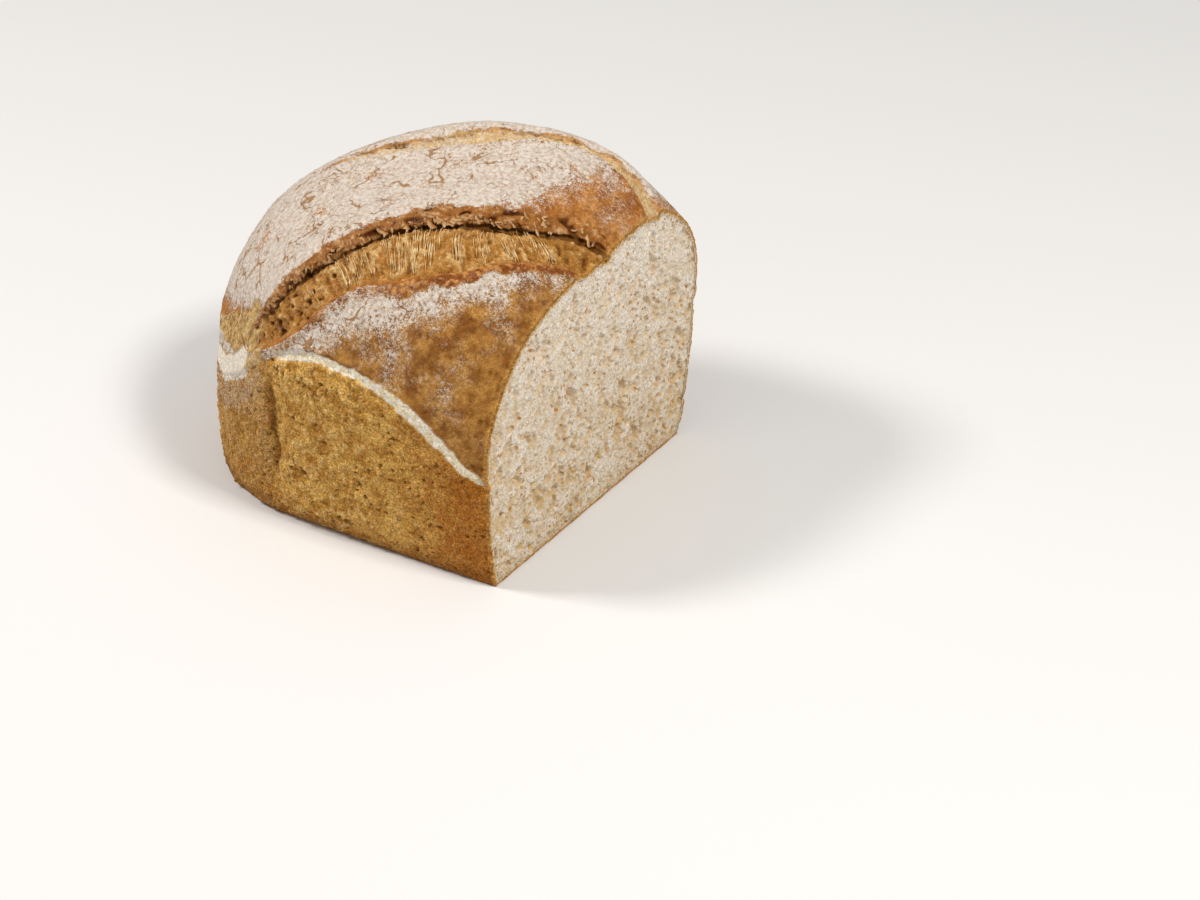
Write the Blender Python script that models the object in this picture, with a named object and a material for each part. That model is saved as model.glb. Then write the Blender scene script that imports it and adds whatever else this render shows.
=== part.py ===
"""The larger part of a farmhouse tin loaf, cut once across: one solid of brown bread.

X runs along the loaf to the cut face, Y from the near side to the far side, Z up from the flat
base. The tin gave it tapered sides, a collar where the dough rose over the rim and a well
rounded end. Above the collar is a domed crust, and two slashes tore it open as it rose, each
with a low lip on its near side and an overhanging ear on its far side.

The crust is laid out by two values: the run, the distance back from the cut, which goes on as
an arc round the end, and the turn, the angle about a line through the loaf, 0 at the top,
negative on the near side.
"""
import math

import bmesh
import bpy
import numpy as np
from mathutils import Vector, noise

# Driving dimensions of the loaf's outer form, in metres, from the near lower corner of the cut
BASE_WIDTH = 0.1292
NEAR_FLARE = 0.1155      # how far the near side leans out for each metre up
FAR_FLARE = 0.148
END_FLARE = 0.025
FLARE_HEIGHT = 0.060     # the sides turn upright about this height
NEAR_BOW = 0.0016        # the near side bows out by this at its middle
BOW_MIDDLE = 0.056
BOW_REACH = 0.061
LENGTH_AT_BASE = 0.1535
END_RADIUS = 0.058       # plan radius of the two end corners at the base
END_RADIUS_GROWTH = 0.34 # and what it gains for each metre up
SHOULDER_RADIUS = 0.048
CROWN_HEIGHT = 0.1266
CROWN_RUN = 0.039        # the crown stands this far back from the cut
CROWN_TILT = 0.135       # the far side rose higher than the near side
FALL_TO_END = 1.8        # curvature of the crown's fall, in 1/m
FALL_TO_CUT = 8.9
BASE_TUCK = 0.0016       # the sides turn in by this at the base
BASE_TUCK_HEIGHT = 0.003

# The line through the loaf that the turn is measured about, and the cut's slant
SPINE_Y = 0.066
SPINE_Z = 0.050
SPINE_LENGTH = 0.085     # the rings fan out round the end from here
FAN_RADIUS = 0.070       # run on the fan for each radian
CUT_YAW = 0.040
CUT_LEAN = 0.035
CUT_OVERRUN = 0.006      # the rings start past the cut and are sliced back to it
UNDERSIDE = -0.012       # they go below the base too, and are trimmed level

# Lines on the crust, each a few (run in mm, turn in degrees) pairs
COLLAR_NEAR = [(0, -93), (10, -89), (20, -82), (32, -75.5), (44, -71), (55, -68), (74, -67),
               (87, -69.5), (100, -75), (116, -86), (133, -96), (160, -99), (195, -103)]
COLLAR_FAR = [(0, 84), (40, 79), (90, 82), (135, 90), (195, 105)]
LIP_NEAR = [(0, -11), (12, -21), (27, -34), (47, -42), (60, -45), (70, -51), (80, -61),
            (90, -67), (100, -71.5), (113, -76), (140, -78), (195, -78)]
EAR_NEAR = [(0, 12), (8, 9.5), (21, 1), (30, -4), (52, -12), (64, -20), (76, -28), (85, -36),
            (94, -45), (101, -54), (108, -65), (116, -70), (140, -65), (195, -30)]
LIP_FAR = [(0, 28.5), (13, 30), (25, 28.5), (45, 22), (57, 17), (73, 12), (85, 8), (95, 4),
           (107, -1), (130, -12), (195, 0)]
EAR_FAR = [(0, 36.5), (13, 38), (25, 36.5), (46, 31.5), (61, 27), (73, 24.5), (85, 21.5), (96, 16),
           (107, 8), (130, 0), (195, 40)]

# How far each slash stands open along the run: (run in mm, share of the full relief)
OPEN_NEAR = [(-6, 0.35), (5, 0.5), (25, 1.0), (85, 1.0), (100, 0.7), (112, 0.0)]
OPEN_FAR = [(-6, 0.35), (8, 0.5), (35, 0.8), (88, 0.8), (101, 0.5), (112, 0.0)]

# Section across a slash: (place from lip 0 to ear 1, height in mm, share of rag, share of crumb)
SLASH_SECTION = [(-0.10, 0.7, 0.2, 0.0), (0.00, 1.4, 0.8, 0.2), (0.06, -0.8, 0.6, 0.6),
                 (0.13, -3.2, 0.2, 1.0), (0.25, -2.9, 0.0, 1.0), (0.37, -2.2, 0.0, 1.0),
                 (0.49, -1.8, 0.0, 1.0), (0.60, -2.4, 0.0, 0.9), (0.71, -4.2, 0.1, 0.4),
                 (0.86, -5.6, 0.3, 0.2), (0.74, -2.3, 1.0, 0.0), (0.75, -0.7, 1.0, 0.0),
                 (0.87, 0.6, 0.6, 0.2), (1.00, 1.6, 0.4, 0.0), (1.13, 1.3, 0.2, 0.0),
                 (1.34, 0.5, 0.0, 0.0)]
RAG_SLIP = 2.2           # degrees that a ragged edge wanders
RAG_HEIGHT = 0.0013
RAG_GRAIN = 0.008
CRUMB_HEIGHT = 0.0016    # knobs of the torn crumb
CRUMB_GRAIN = 0.007

# Collar, crease and unevenness
COLLAR_SECTION = [(-2.4, 0.0), (-0.8, -0.9), (0.9, -0.8), (2.3, 1.1)]    # (turn, height in mm)
COLLAR_RAG = 0.2
CREASE_RUN = 0.096
CREASE_WIDTH = 0.0035
CREASE_DEPTH = 0.0022
CREASE_LOW = 0.012
CREASE_HIGH = 0.066
TORN_RUN = (0.108, 0.150)
TORN_TURN = (-80.0, -58.0)
TORN_DEPTH = 0.0015
LUMP_HEIGHT = 0.0011
LUMP_GRAIN = 0.024
WRINKLE_HEIGHT = 0.0010
WRINKLE_GRAIN = 0.011
WRINKLE_RUN = (0.045, 0.075)    # they set in between these runs
STILL_HEIGHT = 0.010     # unevenness fades out below this, so that the base stays true

# Spacing of the rings and columns
RING_STEP = 0.0029
END_RING_STEP = 0.0052
END_RINGS_FROM = 0.118
UNDERSIDE_TURNS = (140.0, 152.0, 166.0, 180.0)
SIDE_TURN = 131.0        # the columns of each side end here, by the base's edge
MM = 0.001
TINY = 1e-5
SLICE_SNAP = 0.0003      # points this near a slice are first drawn onto it

CRUST_COLOUR = (0.42, 0.22, 0.085, 1.0)
CRUST_ROUGHNESS = 0.85


def smooth_max(a, b, radius):
    """The greater of two distances, with the corner between them rounded."""
    over_a = np.maximum(radius + a, 0.0)
    over_b = np.maximum(radius + b, 0.0)
    return np.minimum(-radius, np.maximum(a, b)) + np.hypot(over_a, over_b)


def crown_height(x, y):
    """Height of the dome over a point of the base."""
    from_crown = x + CROWN_RUN
    fall = np.where(from_crown < 0.0, FALL_TO_END, FALL_TO_CUT)
    return CROWN_HEIGHT - fall * from_crown ** 2 + CROWN_TILT * (y - SPINE_Y)


def distance_outside(points):
    """How far points lie outside the loaf's smooth outer form; negative inside."""
    x, y, z = points[..., 0], points[..., 1], points[..., 2]
    lean = FLARE_HEIGHT * np.tanh(z / FLARE_HEIGHT)
    tuck = BASE_TUCK * np.exp(-np.maximum(z, 0.0) / BASE_TUCK_HEIGHT)
    bow = NEAR_BOW * np.clip(1.0 - ((x + BOW_MIDDLE) / BOW_REACH) ** 2, 0.0, 1.0)
    near = -bow - NEAR_FLARE * lean - y + tuck
    far = y - BASE_WIDTH - FAR_FLARE * lean + tuck
    end = -LENGTH_AT_BASE - END_FLARE * lean - x + tuck
    corner = END_RADIUS + END_RADIUS_GROWTH * np.maximum(z, 0.0)
    sides = smooth_max(np.maximum(near, far), end, corner)
    domed = smooth_max(sides, z - crown_height(x, y), SHOULDER_RADIUS)
    return np.maximum(domed, UNDERSIDE - z)


def cast(starts, directions, reach=0.26):
    """Walk from points inside the loaf along directions to its outer form, by halving."""
    near = np.zeros(starts.shape[:-1])
    far = np.full(starts.shape[:-1], reach)
    for _ in range(34):
        middle = (near + far) / 2.0
        outside = distance_outside(starts + directions * middle[..., None]) > 0.0
        far = np.where(outside, middle, far)
        near = np.where(outside, near, middle)
    return starts + directions * near[..., None]


def outward(points, step=0.0004):
    """Unit normals of the outer form at points on it."""
    slopes = []
    for axis in np.eye(3):
        slopes.append(distance_outside(points + axis * step) - distance_outside(points - axis * step))
    normals = np.stack(slopes, axis=-1)
    return normals / np.linalg.norm(normals, axis=-1, keepdims=True)


def place(run, turn):
    """Points of the outer form at a run and a turn (metres and degrees)."""
    angle = np.radians(turn)
    along = np.minimum(run / SPINE_LENGTH, 1.0)
    fan = np.maximum(run - SPINE_LENGTH, 0.0) / FAN_RADIUS
    slant = 1.0 - along
    side = np.sin(angle) * np.cos(fan)
    up = np.cos(angle) * np.cos(fan)
    back = -np.sin(fan) + slant * (CUT_YAW * side + CUT_LEAN * up)
    start_x = -along * SPINE_LENGTH + slant * (CUT_YAW * SPINE_Y + CUT_LEAN * SPINE_Z)
    starts = np.stack([start_x, np.full_like(side, SPINE_Y), np.full_like(side, SPINE_Z)], axis=-1)
    return cast(starts, np.stack([back, side, up], axis=-1))


def follow(line, run):
    """Value of a line of (run in mm, value) pairs at a run in metres."""
    runs, values = zip(*line)
    return np.interp(run / MM, runs, values)


def wander(points, grain, seed):
    """Smooth noise from -1 to 1 that changes over one grain."""
    shift = Vector((seed * 7.1, seed * 3.7, seed * 5.3))
    flat = points.reshape(-1, 3) / grain
    values = [noise.noise(Vector(point) + shift) for point in flat]
    return np.array(values).reshape(points.shape[:-1])


def ring_runs():
    """Runs of the rings: close where the slashes are, wider round the end."""
    close = np.arange(-CUT_OVERRUN, END_RINGS_FROM, RING_STEP)
    last = SPINE_LENGTH + FAN_RADIUS * math.pi / 2.0
    count = round((last - END_RINGS_FROM) / END_RING_STEP)
    return np.concatenate([close, np.linspace(END_RINGS_FROM, last, count + 1)])


def spread(first, last, count):
    """Columns between two lines, without the lines themselves."""
    shares = np.arange(1, count + 1) / (count + 1)
    return [(first + (last - first) * share, 0.0 * first, 0.0, 0.0) for share in shares]


def slash_columns(lip, ear, opening):
    """Columns across one slash: turn, lift, share of rag and share of crumb.

    Where the slash is shut its columns lie side by side, and as it opens the ear folds over.
    """
    folded = np.clip(opening * 3.0, 0.0, 1.0)
    first = SLASH_SECTION[0][0]
    step = (SLASH_SECTION[-1][0] - first) / (len(SLASH_SECTION) - 1)
    columns = []
    for index, (share, height, rag, crumb) in enumerate(SLASH_SECTION):
        shut = first + step * index
        turn = lip + (ear - lip) * (shut + (share - shut) * folded)
        columns.append((turn, height * MM * opening, rag * opening, crumb * opening))
    return columns


def collar_columns(turn, upward):
    """Columns across the collar, from the tin side up: a groove with the upper crust proud of it."""
    return [(turn + upward * offset, height * MM + 0.0 * turn, COLLAR_RAG, 0.0)
            for offset, height in COLLAR_SECTION]


def crust_points():
    """Places of the crust's points, one row for each ring and one column for each line."""
    run = ring_runs()
    level = np.zeros_like(run)
    near_collar = follow(COLLAR_NEAR, run)
    far_collar = follow(COLLAR_FAR, run)
    near_slash = slash_columns(follow(LIP_NEAR, run), follow(EAR_NEAR, run), follow(OPEN_NEAR, run))
    far_slash = slash_columns(follow(LIP_FAR, run), follow(EAR_FAR, run), follow(OPEN_FAR, run))
    underside = [(level + turn, level, 0.0, 0.0) for turn in UNDERSIDE_TURNS]
    mirrored = [(level - turn, level, 0.0, 0.0) for turn in UNDERSIDE_TURNS]
    columns = mirrored[::-1]
    near_groove = collar_columns(near_collar, 1)
    far_groove = collar_columns(far_collar, -1)[::-1]
    columns += spread(level - SIDE_TURN, near_groove[0][0], 9) + near_groove
    columns += spread(near_groove[-1][0], near_slash[0][0], 9) + near_slash
    columns += spread(near_slash[-1][0], far_slash[0][0], 8) + far_slash
    columns += spread(far_slash[-1][0], far_groove[0][0], 7) + far_groove
    columns += spread(far_groove[-1][0], level + SIDE_TURN, 7)
    columns += underside

    turn = np.stack([column[0] for column in columns], axis=1)
    lift = np.stack([column[1] for column in columns], axis=1)
    rag = np.stack([column[2] + level for column in columns], axis=1)
    crumb = np.stack([column[3] + level for column in columns], axis=1)
    run = np.repeat(run[:, None], turn.shape[1], axis=1)

    smooth = place(run, turn)
    turn = turn + RAG_SLIP * rag * wander(smooth, RAG_GRAIN, 1)
    points = place(run, turn)
    return points + outward(points) * relief(points, run, turn, lift, rag, crumb)[..., None]


def relief(points, run, turn, lift, rag, crumb):
    """Height of the crust over the smooth form: slashes, collar, crease, torn end and lumps."""
    height = points[..., 2]
    still = np.clip(height / STILL_HEIGHT, 0.0, 1.0)
    rim_rag = RAG_HEIGHT * rag * wander(points, RAG_GRAIN, 2)
    knobs = CRUMB_HEIGHT * crumb * wander(points, CRUMB_GRAIN, 3)
    lumps = LUMP_HEIGHT * wander(points, LUMP_GRAIN, 4)

    on_tin = (turn < follow(COLLAR_NEAR, run) - 2.0).astype(float)
    smooth_run, wrinkled_run = WRINKLE_RUN
    towards_end = np.clip((run - smooth_run) / (wrinkled_run - smooth_run), 0.0, 1.0)
    wrinkles = WRINKLE_HEIGHT * on_tin * towards_end * wander(points, WRINKLE_GRAIN, 5)

    sway = 0.003 * np.sin(height / 0.009)
    across = (run - CREASE_RUN - sway) / CREASE_WIDTH
    upright = np.clip((height - CREASE_LOW) / 0.01, 0, 1) * np.clip((CREASE_HIGH - height) / 0.01, 0, 1)
    crease = -CREASE_DEPTH * np.exp(-across ** 2) * upright * on_tin

    torn = 1.0 + 0.0 * run
    for value, (low, high), edge in ((run, TORN_RUN, 0.006), (turn, TORN_TURN, 4.0)):
        torn = torn * np.clip((value - low) / edge, 0.0, 1.0) * np.clip((high - value) / edge, 0.0, 1.0)
    torn_relief = torn * (CRUMB_HEIGHT * wander(points, CRUMB_GRAIN, 6) - TORN_DEPTH)
    return lift + still * (rim_rag + knobs + lumps + wrinkles + crease + torn_relief)


def slice_off(mesh, point, normal):
    """Cut the mesh by a plane, drop what lies beyond it and close the opening with one flat face."""
    facing = normal.normalized()
    for vert in mesh.verts:
        beyond = (vert.co - point).dot(facing)
        if abs(beyond) < SLICE_SNAP:
            vert.co -= facing * beyond
    geometry = mesh.verts[:] + mesh.edges[:] + mesh.faces[:]
    bmesh.ops.bisect_plane(mesh, geom=geometry, dist=TINY / 10, plane_co=point, plane_no=facing,
                           clear_outer=True)
    rim = [edge for edge in mesh.edges if edge.is_boundary]
    bmesh.ops.contextual_create(mesh, geom=rim)


def build_loaf_mesh():
    """Lay a grid over the loaf, close it round the far end, and slice the cut and the base flat."""
    points = crust_points()
    rings, columns = points.shape[:2]
    mesh = bmesh.new()
    bmesh.ops.create_grid(mesh, x_segments=rings - 1, y_segments=columns - 1, size=0.5)
    for vert in mesh.verts:
        ring = round((vert.co.x + 0.5) * (rings - 1))
        column = round((vert.co.y + 0.5) * (columns - 1))
        vert.co = points[ring, column]
    bmesh.ops.remove_doubles(mesh, verts=mesh.verts, dist=TINY)

    slice_off(mesh, Vector((0.0, 0.0, 0.0)), Vector((1.0, -CUT_YAW, -CUT_LEAN)))
    slice_off(mesh, Vector((0.0, 0.0, 0.0)), Vector((0.0, 0.0, -1.0)))
    bmesh.ops.recalc_face_normals(mesh, faces=mesh.faces)
    return mesh


def put_origin_under_middle(mesh):
    """Move the loaf so that the origin is on the base, under the middle of its box."""
    places = np.array([vert.co for vert in mesh.verts])
    low = places.min(axis=0)
    high = places.max(axis=0)
    middle = (low + high) / 2.0
    bmesh.ops.translate(mesh, verts=mesh.verts, vec=Vector((-middle[0], -middle[1], -low[2])))


def make_bread_material():
    material = bpy.data.materials.new("baked_bread_crust")
    material.use_nodes = True
    shader = material.node_tree.nodes["Principled BSDF"]
    shader.inputs["Base Color"].default_value = CRUST_COLOUR
    shader.inputs["Roughness"].default_value = CRUST_ROUGHNESS
    shader.inputs["Metallic"].default_value = 0.0
    return material


def add_loaf():
    """The loaf: one body of bread, its crust shaded smooth up to the cut and the base."""
    mesh = build_loaf_mesh()
    put_origin_under_middle(mesh)
    data = bpy.data.meshes.new("loaf")
    mesh.to_mesh(data)
    mesh.free()
    data.materials.append(make_bread_material())
    data.shade_smooth()
    data.set_sharp_from_angle(angle=math.radians(50))
    loaf = bpy.data.objects.new("loaf", data)
    bpy.context.scene.collection.objects.link(loaf)
    return loaf


for old in list(bpy.data.objects):
    bpy.data.objects.remove(old, do_unlink=True)
add_loaf()
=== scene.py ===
"""The looks of a cut farmhouse tin loaf: a floured, domed crust that two slashes tore open, golden
sides baked against the tin, and a cut face of open crumb.

X runs along the loaf out of the cut face, Y from the near side to the far side, Z up.
"""
import math

import bmesh
import bpy
import numpy as np
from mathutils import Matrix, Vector, noise
from mathutils.kdtree import KDTree


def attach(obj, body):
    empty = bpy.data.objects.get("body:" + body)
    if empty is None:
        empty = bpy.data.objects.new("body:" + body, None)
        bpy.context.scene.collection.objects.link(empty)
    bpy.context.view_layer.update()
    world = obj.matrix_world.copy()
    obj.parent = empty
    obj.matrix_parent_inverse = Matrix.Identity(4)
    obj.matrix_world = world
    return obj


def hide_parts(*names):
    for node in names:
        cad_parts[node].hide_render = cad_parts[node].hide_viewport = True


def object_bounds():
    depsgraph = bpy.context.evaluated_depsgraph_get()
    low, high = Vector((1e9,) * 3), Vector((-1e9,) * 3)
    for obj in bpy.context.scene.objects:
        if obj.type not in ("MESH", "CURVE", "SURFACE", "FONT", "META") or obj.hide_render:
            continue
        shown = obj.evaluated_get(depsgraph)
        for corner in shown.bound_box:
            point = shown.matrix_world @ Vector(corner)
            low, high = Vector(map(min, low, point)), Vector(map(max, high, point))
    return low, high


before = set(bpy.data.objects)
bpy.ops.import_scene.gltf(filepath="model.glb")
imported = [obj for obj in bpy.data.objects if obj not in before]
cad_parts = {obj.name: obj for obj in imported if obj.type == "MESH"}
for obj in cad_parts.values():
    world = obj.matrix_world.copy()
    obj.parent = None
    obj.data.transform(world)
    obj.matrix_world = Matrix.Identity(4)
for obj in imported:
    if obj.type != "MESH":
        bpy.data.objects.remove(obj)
cad_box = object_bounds()
MM = 0.001


# The studio: a plain pale floor under soft light, a key from the upper left and one nearly as strong
# from the right that grazes the cut face from above. The camera stands where the photograph was taken.
def linear(hex_colour):
    """An sRGB hex colour as linear RGBA."""
    channels = [int(hex_colour[place:place + 2], 16) / 255 for place in (1, 3, 5)]
    bent = [value / 12.92 if value <= 0.04045 else ((value + 0.055) / 1.055) ** 2.4 for value in channels]
    return (*bent, 1.0)


def add_node(material, kind, inputs=None, output=None, **settings):
    """Add a shader node and return one of its outputs; inputs are values or the outputs that feed it."""
    node = material.node_tree.nodes.new(kind)
    for name, value in settings.items():
        setattr(node, name, value)
    for name, value in (inputs or {}).items():
        socket = next(socket for socket in node.inputs if name in (socket.identifier, socket.name))
        if isinstance(value, bpy.types.NodeSocket):
            material.node_tree.links.new(value, socket)
        else:
            socket.default_value = value
    return next(socket for socket in node.outputs if output in (None, socket.identifier, socket.name))


def new_material(name, roughness, specular=0.25):
    """A material, and its Principled shader with its gloss set."""
    material = bpy.data.materials.new(name)
    material.use_nodes = True
    shader = material.node_tree.nodes["Principled BSDF"]
    shader.inputs["Roughness"].default_value = roughness
    shader.inputs["Specular IOR Level"].default_value = specular
    return material, shader


def as_mesh(shape, name):
    """A bmesh as a mesh of this name; the bmesh is freed."""
    mesh = bpy.data.meshes.new(name)
    shape.to_mesh(mesh)
    shape.free()
    return mesh


def as_object(name, mesh):
    """An object at the origin that shows a mesh."""
    thing = bpy.data.objects.new(name, mesh)
    bpy.context.scene.collection.objects.link(thing)
    return thing


camera_data = bpy.data.cameras.new("camera")
camera_data.sensor_width = 36.0
camera_data.lens = 107.5
camera = bpy.data.objects.new("camera", camera_data)
camera.location = (0.6720, -0.9705, 0.7599)
camera.rotation_euler = [math.radians(angle) for angle in (57.19, 0.39, 31.11)]
bpy.context.scene.collection.objects.link(camera)
bpy.context.scene.camera = camera

FLOOR_GAP = 0.2 * MM
FLOOR_HALF = 6.0
paper, paper_shader = new_material("matt_white_paper", 0.9)
paper_shader.inputs["Base Color"].default_value = linear("#eae9e8")
sheet = bmesh.new()
bmesh.ops.create_grid(sheet, x_segments=1, y_segments=1, size=FLOOR_HALF)
bmesh.ops.translate(sheet, verts=sheet.verts, vec=(0.0, 0.0, -FLOOR_GAP))
floor = as_object("floor", as_mesh(sheet, "floor"))
floor.data.materials.append(paper)

world = bpy.data.worlds.new("studio")
world.use_nodes = True
world.node_tree.nodes["Background"].inputs["Color"].default_value = linear("#ffffff")
world.node_tree.nodes["Background"].inputs["Strength"].default_value = 0.36
bpy.context.scene.world = world
bpy.context.scene.view_settings.view_transform = "Standard"


LOAF_MIDDLE = Vector((0.0, 0.0, 0.07))


def add_softbox(name, place, size, watts, colour):
    """A square soft light that faces the middle of the loaf."""
    data = bpy.data.lights.new(name, "AREA")
    data.shape = "SQUARE"
    data.size = size
    data.energy = watts
    data.color = linear(colour)[:3]
    light = bpy.data.objects.new(name, data)
    light.location = place
    towards = LOAF_MIDDLE - Vector(place)
    light.rotation_euler = towards.to_track_quat("-Z", "Y").to_euler()
    bpy.context.scene.collection.objects.link(light)


add_softbox("key_light", (-0.80, -0.50, 1.15), 0.30, 11.0, "#fffbf6")
add_softbox("right_light", (0.80, -0.15, 1.15), 0.26, 10.5, "#fffdf8")


# The baked loaf. The dough rose out of the tin over a collar, and the slashes opened as it baked.
# Its form is the solid's own: a copy of the node is rounded, meshed evenly and then given its relief.
VOXEL = 0.62 * MM
ON_FACE = 0.45 * MM             # how near to a flat face a point counts as lying in it
FACING = 0.6                    # and how far its normal has to lie along the face's
FLAT = 0.9995                   # the same for a whole face beside an edge that stays sharp
CUT_YAW = 0.040                 # slopes of the cut across the loaf and up it
CUT_LEAN = 0.035
NEAR_CORNER_Y = -64.72 * MM     # the near lower corner of the cut, which the runs start from
SPINE_Y = NEAR_CORNER_Y + 66 * MM
SPINE_Z = 50 * MM
SPINE_LENGTH = 85 * MM
FAN_RADIUS = 70 * MM
MM_PER_TURN = 1.36              # length on the crust of one degree of turn

# Lines on the crust as (run back from the cut in mm, turn about the spine in degrees) pairs
COLLAR_NEAR = [(0, -93), (10, -89), (20, -82), (32, -75.5), (44, -71), (55, -68), (74, -67),
               (87, -69.5), (100, -75), (116, -86), (133, -96), (160, -99), (195, -103)]
COLLAR_FAR = [(0, 84), (40, 79), (90, 82), (135, 90), (195, 105)]
LIP_NEAR = [(0, -11), (12, -21), (27, -34), (47, -42), (60, -45), (70, -51), (80, -61),
            (90, -67), (100, -71.5), (113, -76), (140, -78), (195, -78)]
EAR_NEAR = [(0, 12), (8, 9.5), (21, 1), (30, -4), (52, -12), (64, -20), (76, -28), (85, -36),
            (94, -45), (101, -54), (108, -65), (116, -70), (140, -65), (195, -30)]
LIP_FAR = [(0, 28.5), (13, 30), (25, 28.5), (45, 22), (57, 17), (73, 12), (85, 8), (95, 4),
           (107, -1), (130, -12), (195, 0)]
EAR_FAR = [(0, 36.5), (13, 38), (25, 36.5), (46, 31.5), (61, 27), (73, 24.5), (85, 21.5), (96, 16),
           (107, 8), (130, 0), (195, 40)]
OPEN_NEAR = [(0, 0.6), (12, 0.8), (25, 1.0), (92, 1.0), (104, 0.8), (113, 0.0)]
OPEN_FAR = [(0, 0.5), (12, 0.7), (35, 1.0), (88, 1.0), (101, 0.6), (111, 0.0)]


def merged_copy(node):
    """A closed bmesh of a node, whose mesh is loose triangles."""
    body = bmesh.new()
    body.from_mesh(node.data)
    bmesh.ops.remove_doubles(body, verts=body.verts, dist=1e-6)
    return body


def finished_mesh(thing):
    """The mesh of an object with its modifiers applied; the object itself is removed."""
    bpy.context.view_layer.update()
    evaluated = thing.evaluated_get(bpy.context.evaluated_depsgraph_get())
    mesh = bpy.data.meshes.new_from_object(evaluated)
    bpy.data.objects.remove(thing, do_unlink=True)
    return mesh


def get_vectors(mesh, name):
    """Places or normals of a mesh's points, one row for each."""
    values = np.empty(len(mesh.vertices) * 3, dtype=np.float32)
    mesh.vertices.foreach_get(name, values)
    return values.reshape(-1, 3).astype(float)


def tree_of(indices, places):
    """A search tree over the points with these indices, at the places given for them."""
    tree = KDTree(len(indices))
    for index in indices:
        tree.insert(places[index], int(index))
    tree.balance()
    return tree


def fade(low, high, value):
    """Smooth step from 0 at low to 1 at high."""
    share = np.clip((value - low) / (high - low), 0.0, 1.0)
    return share * share * (3.0 - 2.0 * share)


def between(low, high, value, soft):
    """1 inside a range and 0 outside it, with soft ends."""
    return fade(low - soft, low + soft, value) * (1.0 - fade(high - soft, high + soft, value))


def wander(points, grain, seed):
    """Smooth noise from about -1 to 1 that changes over one grain."""
    shift = Vector((seed * 7.1, seed * 3.7, seed * 5.3))
    grains = (points / grain).tolist()
    return np.array([noise.noise(Vector(point) + shift) for point in grains])


def follow(line, run):
    """Value of a line of (run in mm, value) pairs at runs in metres."""
    runs, values = zip(*line)
    return np.interp(run / MM, runs, values)


def run_and_turn(points):
    """The run back from the cut in metres and the turn about the spine in degrees."""
    x, y, z = points.T
    aside = y - SPINE_Y
    above = z - SPINE_Z
    cut_x = cut_offset + CUT_YAW * y + CUT_LEAN * z
    run = SPINE_LENGTH * (cut_x - x) / (cut_x - spine_end)
    fan = SPINE_LENGTH + FAN_RADIUS * np.arctan2(spine_end - x, np.hypot(aside, above))
    return np.where(x > spine_end, run, fan), np.degrees(np.arctan2(aside, above))


def across_slash(lip, ear, run, turn):
    """Place across a slash, 0 at its lip and 1 at its ear."""
    low = follow(lip, run)
    return (turn - low) / np.maximum(follow(ear, run) - low, 2.0)


form = merged_copy(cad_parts["loaf"])
cut_offset = max(vert.co.x - CUT_YAW * vert.co.y - CUT_LEAN * vert.co.z for vert in form.verts)
spine_end = cut_offset + CUT_YAW * NEAR_CORNER_Y - SPINE_LENGTH
cut_normal = np.array([1.0, -CUT_YAW, -CUT_LEAN])
cut_normal /= np.linalg.norm(cut_normal)


def beyond_cut(points):
    """How far points stand out of the cut plane."""
    return points @ cut_normal - cut_offset * cut_normal[0]


# The edges of the cut and of the sole stay sharp as the rest is rounded
cut_axis = Vector(cut_normal)
crease = form.edges.layers.float.new("crease_edge")
for edge in form.edges:
    sides = [face.normal for face in edge.link_faces]
    by_flat = any(abs(side.dot(cut_axis)) > FLAT or side.z < -FLAT for side in sides)
    if by_flat and sides[0].dot(sides[1]) < 0.9:
        edge[crease] = 1.0
form_object = as_object("form", as_mesh(form, "form"))
rounding = form_object.modifiers.new("rounding", "SUBSURF")
rounding.levels = rounding.render_levels = 2
evening = form_object.modifiers.new("evening", "REMESH")
evening.mode = "VOXEL"
evening.voxel_size = VOXEL
even_mesh = finished_mesh(form_object)

# The near slash is the loaf's finest part, so its faces are divided once more
run, turn = run_and_turn(get_vectors(even_mesh, "co"))
across_near = across_slash(LIP_NEAR, EAR_NEAR, run, turn)
finer = (across_near > -0.08) & (across_near < 1.06) & (run < 113 * MM)
finer |= (run >= 100 * MM) & (run < 145 * MM) & (turn > -80) & (turn < -52)
form = bmesh.new()
form.from_mesh(even_mesh)
fine_edges = [edge for edge in form.edges if finer[edge.verts[0].index] and finer[edge.verts[1].index]]
bmesh.ops.subdivide_edges(form, edges=fine_edges, cuts=1, use_grid_fill=True)
body = as_mesh(form, "body")

points = get_vectors(body, "co")
normals = get_vectors(body, "normal")
run, turn = run_and_turn(points)
on_cut = (np.abs(beyond_cut(points)) < ON_FACE) & (normals @ cut_normal > FACING)
points[on_cut] -= np.outer(beyond_cut(points[on_cut]), cut_normal)
on_base = (points[:, 2] < ON_FACE) & (normals[:, 2] < -FACING)
points[on_base, 2] = 0.0

across_near = across_slash(LIP_NEAR, EAR_NEAR, run, turn)
across_far = across_slash(LIP_FAR, EAR_FAR, run, turn)
open_near = fade(0, 0.5, follow(OPEN_NEAR, run))
open_far = fade(0, 0.5, follow(OPEN_FAR, run))
radius = np.hypot(points[:, 1] - SPINE_Y, points[:, 2] - SPINE_Z)
radius = np.hypot(radius, np.maximum(spine_end - points[:, 0], 0.0))
in_dome = (turn > follow(COLLAR_NEAR, run)) & (turn < follow(COLLAR_FAR, run)) & ~on_cut
in_dome &= (points[:, 2] > 20 * MM)
on_side = ~in_dome & ~on_cut

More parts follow.
